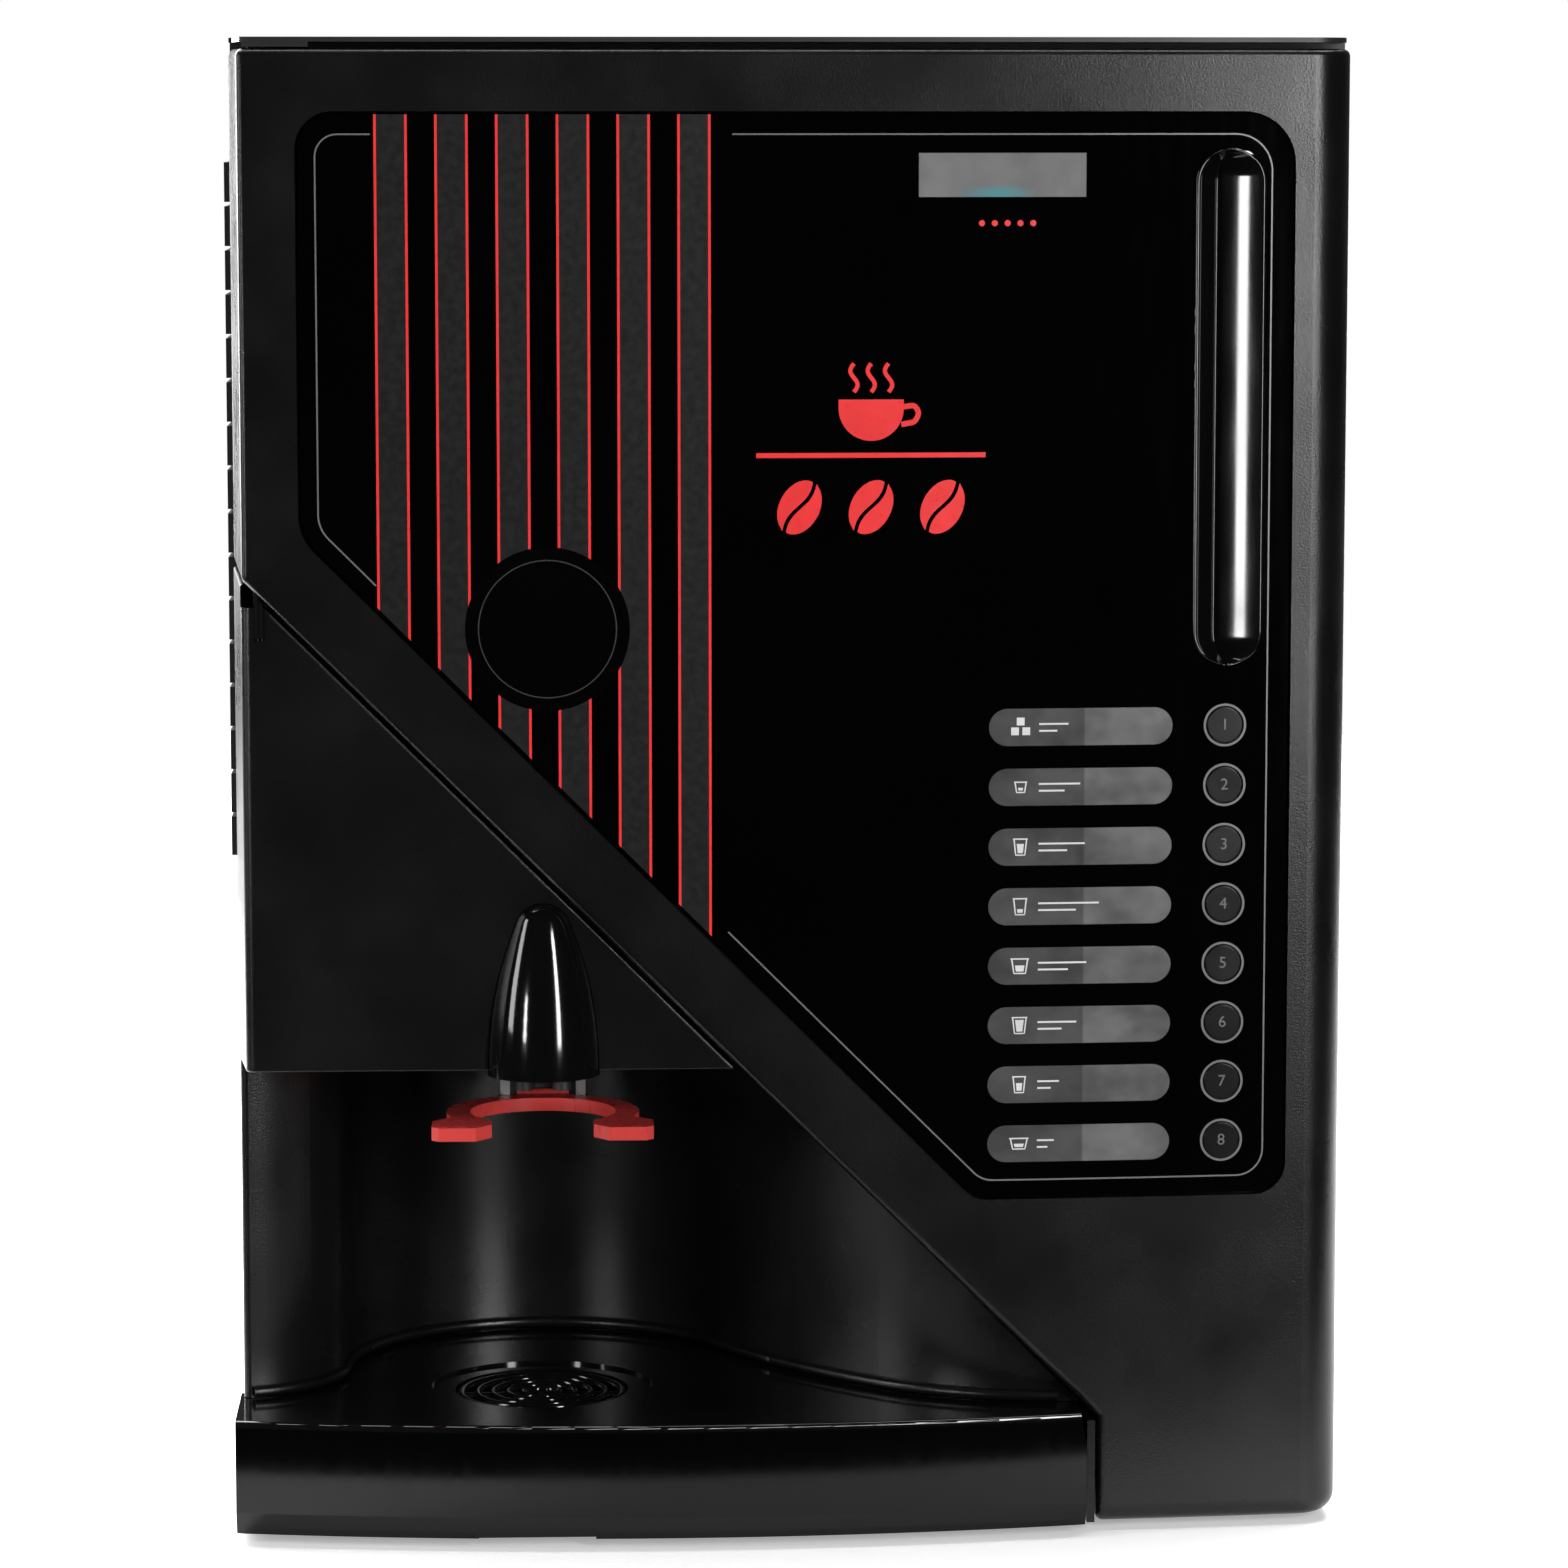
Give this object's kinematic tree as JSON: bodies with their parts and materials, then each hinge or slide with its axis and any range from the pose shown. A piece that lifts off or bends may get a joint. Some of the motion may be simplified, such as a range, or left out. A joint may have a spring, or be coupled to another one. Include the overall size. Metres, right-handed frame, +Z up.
{
  "type": "hot coffee vending machine",
  "caption": "Table-top hot drinks vending machine with a hinged slanted door, cup niche, folding cup holder and slide-out drip tray.",
  "frame": {"origin": "bottom centre of the bounding box, on the surface that the feet rest on", "axes": "+Z up, front with the door towards -Y, +X to the right of someone facing the machine"},
  "size_m": [0.463, 0.49, 0.615],
  "materials": {
    "textured_plastic": "fine-textured satin black",
    "gloss_plastic": "polished black",
    "printed_panel": "polished black with printed stripes",
    "button_plastic": "satin black with printed numeral",
    "label_film": "smoky translucent",
    "display_glass": "grey tinted",
    "red_plastic": "semi-gloss red",
    "painted_steel": "satin black powder coat",
    "zinc_steel": "zinc-plated",
    "stainless": "brushed stainless",
    "bright_metal": "nickel-plated",
    "rubber": "matt black rubber",
    "canister_plastic": "translucent natural polymer",
    "white_plastic": "white moulded",
    "black_plastic": "plain black moulded",
    "silicone": "milky silicone",
    "motor_steel": "zinc-plated motor case",
    "circuit_board": "green solder mask",
    "copper_pipe": "drawn copper",
    "brass": "machined brass"
  },
  "bodies": {
    "cabinet": {"base_pan": "zinc_steel", "side_panel_left": "painted_steel", "side_panel_right": "painted_steel", "back_panel": "painted_steel", "top_panel": "painted_steel", "front_frame": "painted_steel", "inner_frame": "zinc_steel", "service_bulkhead": "zinc_steel", "feet": "rubber", "panel_screws": "bright_metal", "hinge_pins": "painted_steel", "hood": "textured_plastic", "niche_liner": "textured_plastic", "nozzle_cover": "gloss_plastic", "nozzle_block": "black_plastic", "cup_bracket": "zinc_steel", "cup_sensors": "black_plastic", "tray_post": "textured_plastic", "canisters": "canister_plastic", "canister_lids": "white_plastic", "drive_motors": "motor_steel", "mixer_bowls": "canister_plastic", "lock_cylinder": "bright_metal", "delivery_hoses": "silicone", "boiler": "stainless", "water_valves": "black_plastic", "water_pipes": "copper_pipe", "water_inlet": "brass", "power_supply": "zinc_steel", "control_board": "circuit_board", "fan_housing": "black_plastic", "power_inlet": "black_plastic"},
    "door": {"door_frame": "textured_plastic", "front_panel": "printed_panel", "label_windows": "label_film", "button_board": "circuit_board", "display_lens": "display_glass", "display_module": "circuit_board", "finger_pull": "gloss_plastic"},
    "cup_holder": {"cup_holder": "red_plastic"},
    "tray": {"drip_tray": "gloss_plastic", "tray_deck": "gloss_plastic"},
    "grille": {"tray_grille": "gloss_plastic"},
    "lock": {"lock_cam": "bright_metal"},
    "fan": {"fan_rotor": "black_plastic"},
    "switch": {"rocker_switch": "black_plastic"},
    "button_1": {"button_1": "button_plastic"},
    "button_2": {"button_2": "button_plastic"},
    "button_3": {"button_3": "button_plastic"},
    "button_4": {"button_4": "button_plastic"},
    "button_5": {"button_5": "button_plastic"},
    "button_6": {"button_6": "button_plastic"},
    "button_7": {"button_7": "button_plastic"},
    "button_8": {"button_8": "button_plastic"},
    "auger_1": {"auger_1": "white_plastic"},
    "auger_2": {"auger_2": "white_plastic"},
    "auger_3": {"auger_3": "white_plastic"},
    "auger_4": {"auger_4": "white_plastic"},
    "mixer_1": {"impeller_1": "white_plastic"},
    "mixer_2": {"impeller_2": "white_plastic"}
  },
  "joints": [
    {"name": "door_swing", "type": "hinge", "parent": "cabinet", "child": "door", "pos_m": [-0.2165, -0.217, 0.5], "axis": [0, 0, -1], "range_deg": [0, 110]},
    {"name": "cup_holder_fold", "type": "hinge", "parent": "cabinet", "child": "cup_holder", "pos_m": [-0.103, -0.138, 0.169], "axis": [1, 0, 0], "range_deg": [0, 85]},
    {"name": "tray_slide", "type": "slide", "parent": "cabinet", "child": "tray", "axis": [0, -1, 0], "range_m": [0, 0.2]},
    {"name": "grille_lift", "type": "slide", "parent": "tray", "child": "grille", "axis": [0, 0, 1], "range_m": [0, 0.03]},
    {"name": "lock_turn", "type": "hinge", "parent": "cabinet", "child": "lock", "pos_m": [0.21, -0.15, 0.225], "axis": [1, 0, 0], "range_deg": [0, 90]},
    {"name": "switch_rock", "type": "hinge", "parent": "cabinet", "child": "switch", "pos_m": [-0.142, 0.2285, 0.062], "axis": [1, 0, 0], "range_deg": [0, 14]},
    {"name": "fan_spin", "type": "hinge", "parent": "cabinet", "child": "fan", "pos_m": [0.1885, 0.215, 0.47], "axis": [0, 1, 0], "continuous": true},
    {"name": "auger_1_turn", "type": "hinge", "parent": "cabinet", "child": "auger_1", "pos_m": [-0.173, 0.02, 0.357], "axis": [0, 1, 0], "continuous": true},
    {"name": "auger_2_turn", "type": "hinge", "parent": "cabinet", "child": "auger_2", "pos_m": [-0.083, 0.02, 0.357], "axis": [0, 1, 0], "continuous": true},
    {"name": "auger_3_turn", "type": "hinge", "parent": "cabinet", "child": "auger_3", "pos_m": [0.007, 0.02, 0.357], "axis": [0, 1, 0], "continuous": true},
    {"name": "auger_4_turn", "type": "hinge", "parent": "cabinet", "child": "auger_4", "pos_m": [0.097, 0.02, 0.357], "axis": [0, 1, 0], "continuous": true},
    {"name": "impeller_1_spin", "type": "hinge", "parent": "cabinet", "child": "mixer_1", "pos_m": [-0.128, -0.1, 0.258], "axis": [0, 1, 0], "continuous": true},
    {"name": "impeller_2_spin", "type": "hinge", "parent": "cabinet", "child": "mixer_2", "pos_m": [0.052, -0.1, 0.258], "axis": [0, 1, 0], "continuous": true},
    {"name": "button_1_press", "type": "slide", "parent": "door", "child": "button_1", "axis": [-0.0855, 0.9963, 0], "range_m": [0, 0.001], "stiffness_N_per_m": 200, "springref_m": -0.001},
    {"name": "button_2_press", "type": "slide", "parent": "door", "child": "button_2", "axis": [-0.0855, 0.9963, 0], "range_m": [0, 0.001], "stiffness_N_per_m": 200, "springref_m": -0.001},
    {"name": "button_3_press", "type": "slide", "parent": "door", "child": "button_3", "axis": [-0.0855, 0.9963, 0], "range_m": [0, 0.001], "stiffness_N_per_m": 200, "springref_m": -0.001},
    {"name": "button_4_press", "type": "slide", "parent": "door", "child": "button_4", "axis": [-0.0855, 0.9963, 0], "range_m": [0, 0.001], "stiffness_N_per_m": 200, "springref_m": -0.001},
    {"name": "button_5_press", "type": "slide", "parent": "door", "child": "button_5", "axis": [-0.0855, 0.9963, 0], "range_m": [0, 0.001], "stiffness_N_per_m": 200, "springref_m": -0.001},
    {"name": "button_6_press", "type": "slide", "parent": "door", "child": "button_6", "axis": [-0.0855, 0.9963, 0], "range_m": [0, 0.001], "stiffness_N_per_m": 200, "springref_m": -0.001},
    {"name": "button_7_press", "type": "slide", "parent": "door", "child": "button_7", "axis": [-0.0855, 0.9963, 0], "range_m": [0, 0.001], "stiffness_N_per_m": 200, "springref_m": -0.001},
    {"name": "button_8_press", "type": "slide", "parent": "door", "child": "button_8", "axis": [-0.0855, 0.9963, 0], "range_m": [0, 0.001], "stiffness_N_per_m": 200, "springref_m": -0.001}
  ]
}
